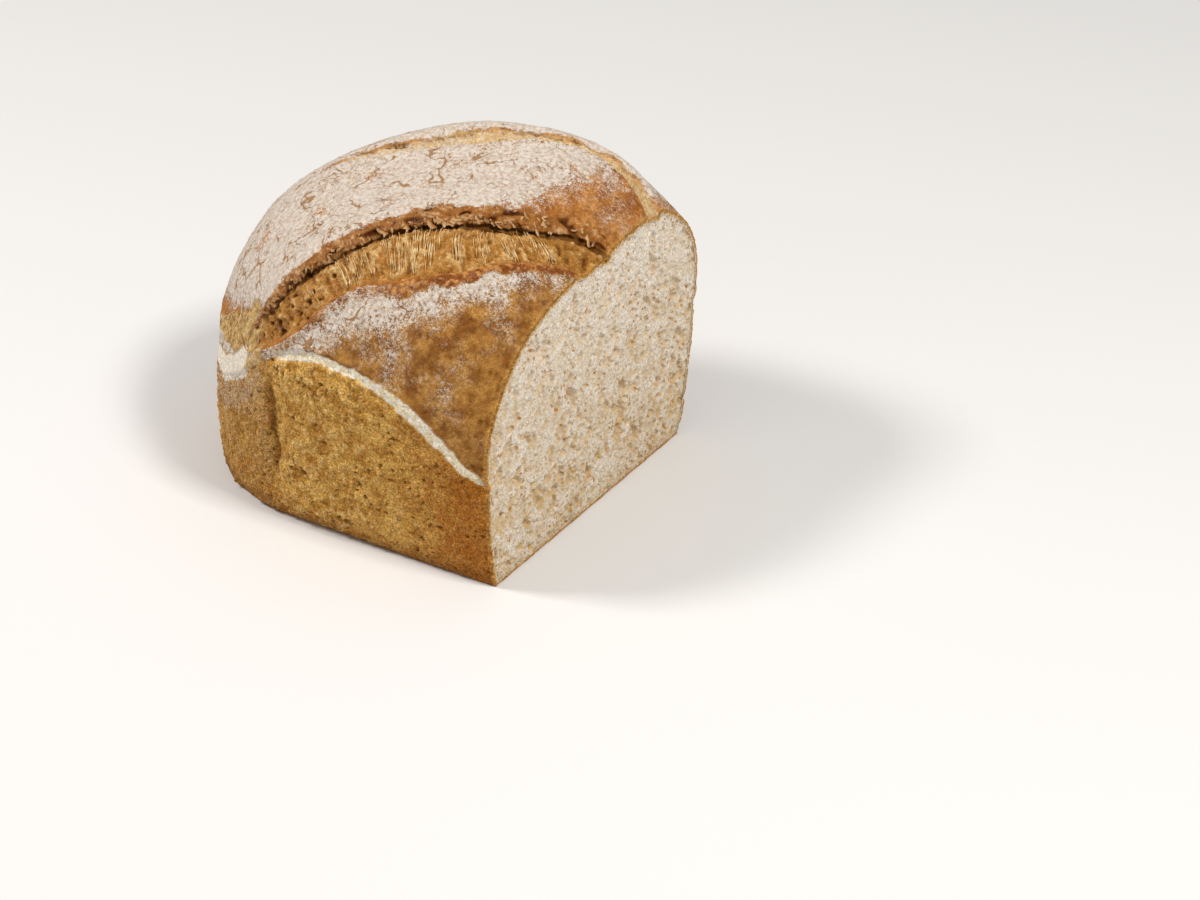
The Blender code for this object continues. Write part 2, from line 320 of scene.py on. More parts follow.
# Points in the hollow under an ear, told from those on the ear by the crust above them
by_ear = (across_near > 0.62) & (across_near < 1.02) & (open_near > 0)
by_ear |= (across_far > 0.62) & (across_far < 1.02) & (open_far > 0)
by_ear &= in_dome
spread = np.stack([run, turn * MM_PER_TURN * MM, 0 * run], axis=1)
BESIDE = 1.3 * MM               # points this near each other on the crust are compared
ear_tree = tree_of(np.flatnonzero(by_ear), spread)
hidden = np.zeros(len(points))
for index in np.flatnonzero(by_ear):
    beside = [near for _, near, _ in ear_tree.find_range(spread[index], BESIDE)]
    hidden[index] = radius[beside].max() - radius[index]
hidden = fade(1.1 * MM, 2.0 * MM, hidden)

ragged = 0.05 * wander(points, 7 * MM, 1) + 0.035 * wander(points, 2.6 * MM, 2)


def ear_face(across, opening, floured_from):
    """The brown broken face of an ear, from the floured skin down to its overhanging edge."""
    below = 1 - fade(floured_from - 0.03, floured_from + 0.03, across + 1.3 * ragged)
    return fade(0.67, 0.75, across) * below * opening * in_dome * (1 - hidden)


def torn_floor(across, opening):
    """The torn crumb between the lip and the hollow under the ear."""
    upper = fade(0.67, 0.75, across) * (1 - hidden)
    floor_here = fade(0.03, 0.10, across + ragged) * (1 - fade(0.98, 1.0, across))
    return floor_here * (1 - upper) * opening * in_dome


def lip_crest(across, opening, width):
    """The thin toasted crest along the low side of a slash."""
    return between(-1.7 * width, 0.6 * width, across + ragged, 0.5 * width) * opening * in_dome


ear = np.maximum(ear_face(across_near, open_near, 0.93), 0.8 * ear_face(across_far, open_far, 0.80))
corner = between(104 * MM, 150 * MM, run, 4 * MM)
corner_turn = turn + 5 * wander(points, 9 * MM, 3) + 3 * wander(points, 3 * MM, 4)
corner_turn += 0.35 * (run / MM - 105)
corner *= between(-72, -57, corner_turn, 2.5) * (turn > -79)
torn = np.maximum(torn_floor(across_near, open_near), torn_floor(across_far, open_far))
torn = np.clip(torn + corner * in_dome, 0, 1)
lip = np.maximum(lip_crest(across_near, open_near, 0.065), 0.3 * lip_crest(across_far, open_far, 0.12))
lip *= (1 - 0.5 * fade(30 * MM, 60 * MM, run)) * (1 - fade(88 * MM, 100 * MM, run))


def along_slash(lip, ear, run, turn):
    """Distance along a slash in metres, the same for all points straight across it."""
    table = np.linspace(-10 * MM, 140 * MM, 301)
    middle = (follow(lip, table) + follow(ear, table)) / 2 * MM_PER_TURN * MM
    padded = np.pad(np.gradient(middle, table), 25, mode="edge")
    slope = np.convolve(padded, np.ones(51) / 51, mode="valid")
    slant = np.interp(run, table, slope)
    return run + (turn * MM_PER_TURN * MM - np.interp(run, table, middle)) * slant / (1 + slant ** 2)


# Relief in metres along the crust's normal. In the slash the crumb tore into upright ribs where it was
# drawn out, and into knobs and pits where it broke; the ear is blistered and the lip is ragged.
foot = along_slash(LIP_NEAR, EAR_NEAR, run, turn)
drawn = between(15 * MM, 84 * MM, foot, 7 * MM) * fade(0.02, 0.12, across_near) * (across_near < 1)
rib_places = np.stack([foot / (1.6 * MM), 4.2 * across_near, 0 * foot], axis=1)
ribs = 1 - 2.4 * np.abs(wander(rib_places, 1.0, 11))
knobs = 0.95 * MM * wander(points, 4.6 * MM, 12) + 0.65 * MM * wander(points, 2.1 * MM, 13)
grains = 0.32 * MM * wander(points, 1.0 * MM, 14)
pits = fade(0.22, 0.62, wander(points, 2.5 * MM, 15)) * (0.4 + 0.6 * fade(60 * MM, 85 * MM, run))
torn_relief = knobs * (1 - 0.35 * drawn) + grains + 0.45 * MM * drawn * ribs - 1.4 * MM * pits

layered = np.stack([0.40 * foot, 14 * MM * across_near, 5 * MM * across_far], axis=1)
blisters = fade(0.10, 0.45, wander(layered, 2.3 * MM, 16))
ear_relief = 0.60 * MM * wander(points, 3.4 * MM, 17) + 0.35 * MM * wander(points, 1.2 * MM, 18)
ear_relief += 0.40 * MM * wander(layered, 1.2 * MM, 43) - 1.5 * MM * blisters
lip_relief = 1.6 * MM * np.maximum(wander(points, 2.2 * MM, 19), -0.2)
lip_relief += 0.5 * MM * wander(points, 1.1 * MM, 20)

skin = in_dome * (1 - torn) * (1 - ear) * (1 - 0.8 * lip)
skin_relief = 0.26 * MM * wander(points, 3.4 * MM, 21) + 0.22 * MM * wander(points, 1.4 * MM, 22)
near_skin = skin * (across_near < 0)
dents = fade(0.25, 0.6, wander(points, 2.3 * MM, 23))
skin_relief -= near_skin * 0.40 * MM * dents

# The side took the tin's smoothness, but bubbles left pits and the dough folded towards the end
height = points[:, 2]
still = fade(0.2 * MM, 3.0 * MM, height)
towards_end = fade(30 * MM, 75 * MM, run) * (0.35 + 0.65 * (turn < 0))
folds = 1 - 2.2 * np.abs(wander(points * [1.0, 1.0, 0.65], 5.2 * MM, 24))
lumps = np.abs(wander(points, 3.2 * MM, 25)) - 0.3
wavy_run = run + 2.2 * MM * wander(points, 7 * MM, 26)
by_crease = between(-113, -80, turn, 4)
crease_dent = between(93.5 * MM, 96.0 * MM, wavy_run, 1.4 * MM) * by_crease
crease_fold = between(98 * MM, 104 * MM, wavy_run, 2.4 * MM) * by_crease
side_pits = fade(0.30, 0.60, wander(points, 1.8 * MM, 27)) * fade(-0.35, 0.25, wander(points, 12 * MM, 28))
side_relief = 0.52 * MM * wander(points, 3.1 * MM, 29) + 0.40 * MM * wander(points, 1.5 * MM, 30)
side_relief += towards_end * (0.40 * MM * folds + 1.4 * MM * lumps) - 0.75 * MM * side_pits
side_relief += 0.7 * MM * crease_fold - 1.3 * MM * crease_dent
nicks = fade(0.12, 0.5, wander(points, 4.5 * MM, 31)) * (1 - fade(1 * MM, 8 * MM, height))
side_relief -= 1.0 * MM * nicks

collar_near = follow(COLLAR_NEAR, run)
collar_far = follow(COLLAR_FAR, run)
band_wander = 0.6 * wander(points, 5 * MM, 32) + 0.55 * wander(points, 1.9 * MM, 33)
from_collar = turn - collar_near - 1.2 * (1 - fade(38 * MM, 58 * MM, run)) + band_wander
band_half = 1.35 + 1.35 * between(4 * MM, 40 * MM, run, 10 * MM)
collar_band = between(-1, 1, from_collar / band_half, 0.16)
collar_band *= fade(0.5 * MM, 4 * MM, run) * (1 - fade(88 * MM, 93 * MM, run))
patch_top = 11 + 2.5 * wander(points, 7 * MM, 34)
flour_patch = fade(-1.9, -1.1, from_collar) * (1 - fade(patch_top - 1, patch_top + 1, from_collar))
flour_patch *= between(111 * MM, 158 * MM, run, 1.6 * MM)
from_far = collar_far - turn + band_wander
band_width = fade(-0.05, 0.25, wander(points, 26 * MM, 35)) * (1 - fade(140 * MM, 158 * MM, run))
band_behind = between(-1.6, 1.3, from_far / np.maximum(band_width, 0.05), 0.3)
dough_folds = between(98.5 * MM, 110 * MM, run, 1.2 * MM) * in_dome
dough_folds *= between(-2.2, 4.5, turn - collar_near, 0.8)
collar_relief = 0.25 * MM * wander(points, 1.6 * MM, 36) + 0.18 * MM
fold_relief = 0.9 * MM * wander(points, 4.0 * MM, 37) + 0.5 * MM

lift = torn * torn_relief + 0.9 * ear * ear_relief + 0.8 * lip * lip_relief + skin * skin_relief
lift += on_side * still * (1 - collar_band) * side_relief
lift = lift * (1 - 0.8 * dough_folds) + collar_band * collar_relief + dough_folds * fold_relief

# The ear's edge hangs in scallops towards the lip
aside = points[:, 1] - SPINE_Y
above = points[:, 2] - SPINE_Z
reach = np.maximum(np.hypot(aside, above), 1e-4)
down_turn = np.stack([0 * run, -above / reach, aside / reach], axis=1)
hem = between(0.70, 0.81, across_near, 0.04) * open_near
hem += 0.6 * between(0.70, 0.81, across_far, 0.04) * open_far
hem *= (1 - hidden) * in_dome
scallops = hem * (1.7 * MM * wander(points, 5.2 * MM, 38) + 1.0 * MM * wander(points, 2.3 * MM, 39))

# The knife left the crust's edge at the cut crumbly, so the outline is drawn in by small chips
chips = (1 - fade(0.5 * MM, 3.0 * MM, run)) * fade(-0.1, 0.5, wander(points, 2.2 * MM, 40)) * ~on_cut
lift -= 0.75 * MM * chips

free = ~(on_cut | on_base)
offset = normals * (lift * free)[:, None] - down_turn * (scallops * free)[:, None]

# The cut face follows the crust at its outline, and less and less further inside
FOLLOW_WIDTH = 3 * MM
SKIN_GAP = 0.05 * MM            # how far the crust keeps behind the cut and above the base
edge_ends = np.empty(len(body.edges) * 2, dtype=np.int32)
body.edges.foreach_get("vertices", edge_ends)
edge_ends = edge_ends.reshape(-1, 2)
crossing = on_cut[edge_ends[:, 0]] != on_cut[edge_ends[:, 1]]
outline = np.unique(edge_ends[crossing][~on_cut[edge_ends[crossing]]])
outline_tree = tree_of(outline, points)
inside_cut = np.zeros(len(points))
for index in np.flatnonzero(on_cut):
    _, beside, inside_cut[index] = outline_tree.find(points[index])
    if inside_cut[index] < FOLLOW_WIDTH:
        in_plane = offset[beside] - cut_normal * (offset[beside] @ cut_normal)
        offset[index] = in_plane * (1 - inside_cut[index] / FOLLOW_WIDTH)
moved = points + offset
over = (beyond_cut(moved) > -SKIN_GAP) & ~on_cut
moved[over] -= np.outer(beyond_cut(moved[over]) + SKIN_GAP, cut_normal)
moved[:, 2] = np.where(free, np.maximum(moved[:, 2], SKIN_GAP), moved[:, 2])
moved = np.clip(moved, np.array(cad_box[0]), np.array(cad_box[1]))
body.vertices.foreach_set("co", moved.astype(np.float32).ravel())
body.update()
points = moved
whole_normals = get_vectors(body, "normal")
whole_normals[on_cut] = cut_normal

# Where the flour lies: thick on the middle strip and the end of the dome, thin below the near slash,
# and worn off towards the cut and the collar
middle = (across_near > 0.9) & (across_far < 0.12)
beyond = across_far > 0.78
patches = wander(points, 13 * MM, 41) + 0.6 * wander(points, 5.5 * MM, 42)
covered = fade(14 * MM, 34 * MM, run + 0.35 * MM * (turn - 10))
below_lip = follow(LIP_NEAR, run) - turn
flour = 0.84 * middle * (0.26 + 0.74 * covered)
near_flour = 0.43 * (1 - fade(4, 18, below_lip)) + 0.13 * (1 - fade(12, 34, below_lip)) + 0.14
near_flour *= 0.70 + 0.30 * fade(3 * MM, 20 * MM, run)
flour = np.where(across_near < 0, near_flour, flour)
flour = np.where(beyond, 1.0 * (0.35 + 0.65 * fade(2 * MM, 16 * MM, run)), flour)
end_flour = fade(106 * MM, 116 * MM, run) * (turn > -79)
flour = flour * (1 - end_flour) + 0.88 * end_flour * fade(-74, -54, turn)
flour *= 1 - 0.72 * fade(collar_far - 36, collar_far - 8, turn)
flour += (0.25 + 0.14 * middle * fade(45 * MM, 80 * MM, run)) * patches
worn_ear = np.where(across_far > 0.3, 0.55, 0.84) * ear
flour *= (1 - torn) * (1 - worn_ear) * (1 - 0.8 * lip) * in_dome
flour += 0.12 * torn * fade(35 * MM, 90 * MM, run) + 0.14 * ear * fade(15 * MM, 60 * MM, run)
flour += 0.30 * torn * (across_far > 0)
side_haze = between(98 * MM, 150 * MM, run, 6 * MM) * between(-16, 2, turn - collar_near, 6) * on_side
flour += 0.34 * side_haze
flour = np.clip(np.where(flour_patch > 0.1, 0.25 * flour_patch, flour * (1 - dough_folds)), 0, 1)
cracked = skin * fade(25 * MM, 60 * MM, run) * fade(0.3, 0.6, flour)


def blend(share, first, second):
    """One colour over another by a share for each point; each colour is a hex value or a row for each."""
    first, second = [np.array(linear(colour)) if isinstance(colour, str) else colour
                     for colour in (first, second)]
    return first + (second - first) * np.clip(share, 0, 1)[:, None]


def at_points(mesh, name, kind, field, values):
    """Keep a value for each point of a mesh as an attribute."""
    layer = mesh.attributes.new(name, kind, "POINT")
    layer.data.foreach_set(field, values.astype(np.float32).ravel())


# What heat made of the dough: brown skin, toasted ears, golden torn crumb, and ochre where it lay
# against the tin; the collar, shielded by the rim, stayed cream. Over these lies painted shade,
# darker in the hollows and pits, and painted highlight, lighter on the raised crust.
cloudy = wander(points, 6 * MM, 51)
mottled = wander(points, 2.0 * MM, 52)
tone = blend(fade(-0.5, 0.5, cloudy), "#a06228", "#c68847")
tone = blend(0.6 * fade(0.05, 0.5, mottled), tone, "#8a501d")
near_tone = blend(fade(-0.6, 0.6, cloudy + 0.5 * mottled), "#86531f", "#b4813f")
# Painted shade in the dents of the skin below the near slash
near_tone = blend(0.4 * dents, near_tone, "#744416")
tone = blend((across_near < 0) * 1.0, tone, near_tone)

# Painted shade and highlight: the torn crumb is darker where its relief is low and lighter where high
ripple = np.clip(0.5 + (torn_relief - 0.1 * MM) / (2.6 * MM), 0, 1)
torn_tone = blend(fade(0.15, 0.50, ripple), "#6d3f10", "#a97433")
torn_tone = blend(fade(0.50, 0.84, ripple), torn_tone, "#dfba7e")
torn_tone = blend(0.45 * fade(0.0, 0.6, mottled), torn_tone, "#c98f4a")
torn_tone = blend(0.6 * corner, torn_tone, "#e2c587")
torn_tone = blend((across_far > 0) * 0.65, torn_tone, "#efcc92")
# Painted shade in the hollow under the near ear
torn_tone = blend(0.75 * hidden * (across_far < 0), torn_tone, "#6b4015")
# Painted shade in the ear's blister hollows and painted highlight on its raised crust
ear_shade_by_height = np.clip(0.5 + (ear_relief + 0.1 * MM) / (1.9 * MM), 0, 1)
ear_tone = blend(fade(0.1, 0.5, ear_shade_by_height), "#5a2c0a", "#9f6630")
ear_tone = blend(fade(0.55, 0.9, ear_shade_by_height), ear_tone, "#d3a878")
ear_tone = blend(0.65 * (across_far > 0.3), ear_tone, "#dcae78")
# Painted shade and highlight on the lip, darker where its relief is low and lighter where high
lip_tone = blend(fade(-0.2, 0.5, lip_relief / (1.0 * MM)), "#86481a", "#c4884c")
tone = blend(torn, tone, torn_tone)
tone = blend(ear, tone, ear_tone)
tone = blend(lip, tone, lip_tone)

side_tone = blend(fade(-0.5, 0.5, cloudy + 0.5 * mottled), "#c58a38", "#e9b45c")
# Painted highlight on the side's raised bumps and folds
side_tone = blend(0.8 * fade(0.0, 0.8, side_relief / (0.8 * MM)), side_tone, "#efc37a")
side_tone = blend(0.75 * (1 - fade(4 * MM, 42 * MM, run)), side_tone, "#b26208")
side_tone = blend(0.65 * (1 - fade(1 * MM, 12 * MM, height)), side_tone, "#935a1a")
side_tone = blend(0.45 * fade(93 * MM, 99 * MM, run), side_tone, "#a56c30")
# Painted shade in the side's bubble pits and in the crease
side_tone = blend(0.85 * side_pits, side_tone, "#70430f")
side_tone = blend(0.7 * crease_dent, side_tone, "#744715")
tone = blend(on_side * 1.0, tone, side_tone)

band_tone = blend(fade(-0.5, 0.5, wander(points, 1.3 * MM, 54)), "#f0dfb4", "#fffaf0")
band_tone = blend(0.6 * fade(0.15, 0.5, wander(points, 2.2 * MM, 55)), band_tone, "#e6cd9e")
tone = blend(np.maximum(collar_band, band_behind), tone, band_tone)
tone = blend(flour_patch, tone, "#efe4d2")
tone = blend(0.9 * dough_folds, tone, blend(fade(-0.5, 0.5, mottled), "#c79d62", "#e3cb9c"))

singed = (1 - fade(0.3 * MM, 2.0 * MM, run)) * ~on_cut
tone = blend(0.6 * singed, tone, "#d2994c")
rim_tone = blend(fade(0.8 * MM, 2.0 * MM, inside_cut + 0.4 * MM * mottled), "#d09545", "#f0dcb8")
tone = blend(on_cut * 1.0, tone, rim_tone)

at_points(body, "flour", "FLOAT", "value", flour)
at_points(body, "cracked", "FLOAT", "value", np.clip(cracked, 0, 1))
at_points(body, "tone", "FLOAT_COLOR", "color", np.clip(tone, 0, 1))
at_points(body, "whole_normal", "FLOAT_VECTOR", "vector", whole_normals)

# The crust comes apart where the loaf does: the tin-baked side with the sole and the cut's rim, the
# strip below the near slash, the slash itself, and the rest of the dome
RIM_BAND = 1.7 * MM
SIDE, NEAR_STRIP, SLASH, DOME = range(4)
by_slash = (across_near > -0.12) & (across_near < 1.10) & (run < 113 * MM)
by_end = (run >= 113 * MM) & (turn > -82) & (turn < -50)
part_of = np.where(by_slash, SLASH, np.where((across_near < 0.5) & (turn < -8) | by_end, NEAR_STRIP, DOME))
part_of[~in_dome & ~((np.abs(from_collar) < band_half + 0.5) & (run < 95 * MM))] = SIDE
inner_cut = on_cut & (inside_cut > RIM_BAND)


def part_mesh(part, name):
    """A bmesh taken from a whole as a mesh, shaded by the normals that its points had there."""
    mesh = as_mesh(part, name)
    shading = np.empty(len(mesh.vertices) * 3, dtype=np.float32)
    mesh.attributes["whole_normal"].data.foreach_get("vector", shading)
    mesh.attributes.remove(mesh.attributes["whole_normal"])
    mesh.normals_split_custom_set_from_vertices(shading.reshape(-1, 3))
    return mesh


def take_part(number, name):
    """The faces of one part of the crust as a mesh of its own."""
    part = bmesh.new()
    part.from_mesh(body)
    dropped = []
    sole = []
    for face in part.faces:
        corners = [vert.index for vert in face.verts]
        if part_of[corners[0]] != number or all(inner_cut[corner] for corner in corners):
            dropped.append(face)
        elif all(on_base[corner] for corner in corners):
            sole.append(face)
        face.smooth = True
    if sole:
        bmesh.ops.dissolve_faces(part, faces=sole)
        dropped = [face for face in dropped if face.is_valid]
    bmesh.ops.delete(part, geom=dropped, context="FACES")
    return part_mesh(part, name)


def show(name, mesh, material):
    """A piece of the loaf in its material, riding on the loaf's body in the solid's place."""
    mesh.materials.clear()
    mesh.materials.append(material)
    piece = as_object(name, mesh)
    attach(piece, "root")
    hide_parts("loaf")


# The domed crust is wheat dough dusted with flour before it was slashed: dry, matt and off-white
# where the flour is thick, speckled brown where it wore thin, and cracked where the dough stretched.
def per_metre(size_in_mm):
    """Scale of a pattern whose features are this many millimetres apart."""
    return 1.0 / (size_in_mm * MM)


def baked_surface(name, roughness, specular, grain_mm, grain_depth_mm):
    """A crust in its baked tone with a grain, dusted with flour as far as its points say.

    Returns the material and its shader, and the outputs that give its places, colour and bumps.
    """
    material, shader = new_material(name, roughness, specular)
    place = add_node(material, "ShaderNodeTexCoord", output="Object")
    tone = add_node(material, "ShaderNodeAttribute", output="Color", attribute_name="tone")
    flour = add_node(material, "ShaderNodeAttribute", output="Fac", attribute_name="flour")
    fine = add_node(material, "ShaderNodeTexNoise", output="Fac",
                    inputs={"Vector": place, "Scale": per_metre(grain_mm), "Detail": 3.0, "Roughness": 0.7})
    broad = add_node(material, "ShaderNodeTexNoise", output="Fac",
                     inputs={"Vector": place, "Scale": per_metre(6.5), "Detail": 6.0, "Roughness": 0.62})
    clotted = add_node(material, "ShaderNodeTexNoise", output="Fac",
                       inputs={"Vector": place, "Scale": per_metre(1.6), "Detail": 5.0, "Roughness": 0.68})
    grained = tone
    for pattern, darkest, lightest in ((fine, 0.56, 1.40), (clotted, 0.74, 1.24)):
        shade = add_node(material, "ShaderNodeMapRange", output="Result",
                         inputs={"Value": pattern, "From Min": 0.3, "From Max": 0.7,
                                 "To Min": darkest, "To Max": lightest})
        grained = add_node(material, "ShaderNodeMix", output="Result_Color",
                           data_type="RGBA", blend_type="MULTIPLY",
                           inputs={"Factor_Float": 1.0, "A_Color": grained, "B_Color": shade})
    grain = add_node(material, "ShaderNodeTexVoronoi", output="Color",
                     inputs={"Vector": place, "Scale": per_metre(0.42)})
    grain = add_node(material, "ShaderNodeSeparateColor", output="Red", inputs={"Color": grain})
    level = flour
    for pattern, share in ((grain, 0.55), (broad, 1.15), (clotted, 1.10)):
        level = add_node(material, "ShaderNodeMath", operation="MULTIPLY_ADD",
                         inputs={"Value": pattern, "Value_001": share, "Value_002": level})
    any_flour = add_node(material, "ShaderNodeMapRange", output="Result",
                         inputs={"Value": flour, "From Min": 0.02, "From Max": 0.55, "To Max": 0.93})
    dusted = add_node(material, "ShaderNodeMapRange", output="Result", interpolation_type="SMOOTHSTEP",
                      inputs={"Value": level, "From Min": 1.61, "From Max": 2.05, "To Max": any_flour})
    thick = add_node(material, "ShaderNodeMapRange", output="Result", interpolation_type="SMOOTHSTEP",
                     inputs={"Value": clotted, "From Min": 0.36, "From Max": 0.60})
    powder_shade = add_node(material, "ShaderNodeMapRange", output="Result",
                            inputs={"Value": grain, "To Min": 0.86, "To Max": 1.08})
    powder = add_node(material, "ShaderNodeMix", output="Result_Color", data_type="RGBA",
                      inputs={"Factor_Float": thick, "A_Color": linear("#c8b39f"),
                              "B_Color": linear("#e4dbd0")})
    powder = add_node(material, "ShaderNodeMix", output="Result_Color",
                      data_type="RGBA", blend_type="MULTIPLY",
                      inputs={"Factor_Float": 1.0, "A_Color": powder, "B_Color": powder_shade})
    colour = add_node(material, "ShaderNodeMix", output="Result_Color", data_type="RGBA",
                      inputs={"Factor_Float": dusted, "A_Color": grained, "B_Color": powder})
    height = add_node(material, "ShaderNodeMath", operation="MULTIPLY_ADD",
                      inputs={"Value": fine, "Value_001": 1.0, "Value_002": broad})
    height = add_node(material, "ShaderNodeMath", operation="MULTIPLY_ADD",
                      inputs={"Value": dusted, "Value_001": 0.35, "Value_002": height})
    bump = add_node(material, "ShaderNodeBump", output="Normal",
                    inputs={"Height": height, "Strength": 1.0, "Distance": grain_depth_mm * MM})
    material.node_tree.links.new(colour, shader.inputs["Base Color"])
    material.node_tree.links.new(bump, shader.inputs["Normal"])
    return material, shader, place, colour, bump


dome_crust, dome_shader, place, colour, bump = baked_surface("floured_wheat_crust", 0.88, 0.15, 0.55, 0.42)
cracked_here = add_node(dome_crust, "ShaderNodeAttribute", output="Fac", attribute_name="cracked")
veer = add_node(dome_crust, "ShaderNodeTexNoise", output="Color",
                inputs={"Vector": place, "Scale": per_metre(4.0), "Detail": 4.0})
veered = add_node(dome_crust, "ShaderNodeVectorMath", output="Vector", operation="MULTIPLY_ADD",
                  inputs={"Vector": veer, "Vector_001": (5 * MM, 5 * MM, 5 * MM), "Vector_002": place})
from_crack = add_node(dome_crust, "ShaderNodeTexVoronoi", output="Distance", feature="DISTANCE_TO_EDGE",
                      inputs={"Vector": veered, "Scale": per_metre(12.0)})
stretched = add_node(dome_crust, "ShaderNodeTexNoise", output="Fac",
                     inputs={"Vector": place, "Scale": per_metre(10.0), "Detail": 2.0})
width = add_node(dome_crust, "ShaderNodeMapRange", output="Result",
                 inputs={"Value": stretched, "From Min": 0.49, "From Max": 0.66, "To Max": 0.040})
width = add_node(dome_crust, "ShaderNodeMath", operation="MULTIPLY",
                 inputs={"Value": width, "Value_001": cracked_here})
inside = add_node(dome_crust, "ShaderNodeMath", operation="SUBTRACT",
                  inputs={"Value": width, "Value_001": from_crack})
crack = add_node(dome_crust, "ShaderNodeMapRange", output="Result",
                 inputs={"Value": inside, "From Min": -0.004, "From Max": 0.008, "To Max": 0.85})
colour = add_node(dome_crust, "ShaderNodeMix", output="Result_Color", data_type="RGBA",
                  inputs={"Factor_Float": crack, "A_Color": colour, "B_Color": linear("#a37139")})
crack_bump = add_node(dome_crust, "ShaderNodeBump", output="Normal", invert=True,
                      inputs={"Height": crack, "Normal": bump, "Distance": 0.3 * MM})
dome_crust.node_tree.links.new(colour, dome_shader.inputs["Base Color"])
dome_crust.node_tree.links.new(crack_bump, dome_shader.inputs["Normal"])

show("strip_below_slash", take_part(NEAR_STRIP, "strip_below_slash"), dome_crust)
show("slashed_dome", take_part(DOME, "slashed_dome"), dome_crust)
show("near_slash", take_part(SLASH, "near_slash"), dome_crust)

# The side and the sole baked against greased metal: ochre, close-grained and slightly glossy, pitted
# by small bubbles, folded towards the end, and browner by the cut and along the base
tin_crust, tin_shader, place, colour, bump = baked_surface("tin_baked_crust", 0.62, 0.12, 0.75, 0.45)
pebbles = add_node(tin_crust, "ShaderNodeTexVoronoi", output="Distance", feature="SMOOTH_F1",
                   inputs={"Vector": place, "Scale": per_metre(0.85), "Smoothness": 0.4})
# Painted highlight on the tops of the fine grain and painted shade between them, following its bumps
shade = add_node(tin_crust, "ShaderNodeMapRange", output="Result",
                 inputs={"Value": pebbles, "From Min": 0.15, "From Max": 0.65,
                         "To Min": 1.22, "To Max": 0.68})
colour = add_node(tin_crust, "ShaderNodeMix", output="Result_Color",
                  data_type="RGBA", blend_type="MULTIPLY",
                  inputs={"Factor_Float": 1.0, "A_Color": colour, "B_Color": shade})
pebble_bump = add_node(tin_crust, "ShaderNodeBump", output="Normal", invert=True,
                       inputs={"Height": pebbles, "Normal": bump, "Distance": 0.55 * MM})
tin_crust.node_tree.links.new(colour, tin_shader.inputs["Base Color"])
tin_crust.node_tree.links.new(pebble_bump, tin_shader.inputs["Normal"])
show("tin_baked_side", take_part(SIDE, "tin_baked_side"), tin_crust)


# Threads of crumb, drawn out across the slash as it opened: thin golden strings that run straight
# from the lip to the hollow under the ear, tapered to both ends and standing just off the floor
def add_shape(mesh, shape):
    """Add one bmesh to another; the one added is freed."""
    passing = as_mesh(shape, "passing")
    mesh.from_mesh(passing)
    bpy.data.meshes.remove(passing)


def thread_through(mesh, chain, thickness):
    """Add a tapered five-sided string through the places of a chain, closed at both ends."""
    last = len(chain) - 1
    string = bmesh.new()
    bmesh.ops.create_grid(string, x_segments=last, y_segments=5, size=0.5)
    for vert in string.verts:
        step = round((vert.co.x + 0.5) * last)
        spin = 2 * math.pi * round((vert.co.y + 0.5) * 5) / 5
        taper = math.sqrt(max(1 - (2 * step / last - 1) ** 2, 0.0))
        along = (chain[min(step + 1, last)] - chain[max(step - 1, 0)]).normalized()
        sideways = along.orthogonal()
        upwards = along.cross(sideways).normalized()
        sideways.normalize()
        ring = sideways * math.cos(spin) + upwards * math.sin(spin)
        vert.co = chain[step] + ring * thickness * taper
    bmesh.ops.remove_doubles(string, verts=string.verts, dist=1e-6)
    bmesh.ops.recalc_face_normals(string, faces=string.faces)
    add_shape(mesh, string)


THREAD_STEPS = 8
SHORTEST_THREAD = 2.5 * MM


def lay_thread(mesh, tree, start, end, thickness, lifted):
    """Add a thread between two places of the flattened crust, whose points a tree holds."""
    chain = []
    for step in range(THREAD_STEPS + 1):
        share = step / THREAD_STEPS
        place = start.lerp(end, share)
        place.x += 0.7 * MM * noise.noise(Vector((start.x / MM, 4 * share, 1.0)))
        _, index, _ = tree.find(place)
        chain.append(Vector(points[index] + whole_normals[index] * lifted * math.sin(math.pi * share)))
    middle = [(chain[step - 1] + chain[step] + chain[step + 1]) / 3 for step in range(1, THREAD_STEPS)]
    if (chain[-1] - chain[0]).length > SHORTEST_THREAD:
        thread_through(mesh, [chain[0], *middle, chain[-1]], thickness)


rng = np.random.default_rng(57)
threads = bmesh.new()
SLASH_WIDTH = 12 * MM
by_foot = np.stack([foot, across_near * SLASH_WIDTH, 0 * foot], axis=1)
in_slash = (across_near > 0.05) & (across_near < 0.85) & (torn > 0.4) & (run < 112 * MM)
slash_tree = tree_of(np.flatnonzero(in_slash), by_foot)
for _ in range(280):
    place = (14 + 70 * rng.random()) * MM
    low = 0.06 + 0.38 * rng.random()
    high = min(low + 0.14 + 0.36 * rng.random(), 0.80)
    if noise.noise(Vector((place / (4 * MM), 2.0 * low, 7.0))) > -0.12:
        lay_thread(threads, slash_tree, Vector((place, low * SLASH_WIDTH, 0)),
                   Vector((place, high * SLASH_WIDTH, 0)),
                   (0.09 + 0.14 * rng.random()) * MM, (0.05 + 0.60 * rng.random()) * MM)

# At the near slash's end the dough tore open to the side, with strings of its own
end_tree = tree_of(np.flatnonzero((corner > 0.5) & in_dome), spread)
for _ in range(120):
    place = (103 + 42 * rng.random()) * MM
    low = -79 + 12 * rng.random()
    high = low + 3 + 6 * rng.random()
    lay_thread(threads, end_tree, Vector((place, low * MM_PER_TURN * MM, 0)),
               Vector((place + 2 * MM * rng.normal(), high * MM_PER_TURN * MM, 0)),
               (0.10 + 0.14 * rng.random()) * MM, (0.05 + 0.50 * rng.random()) * MM)
for face in threads.faces:
    face.smooth = True

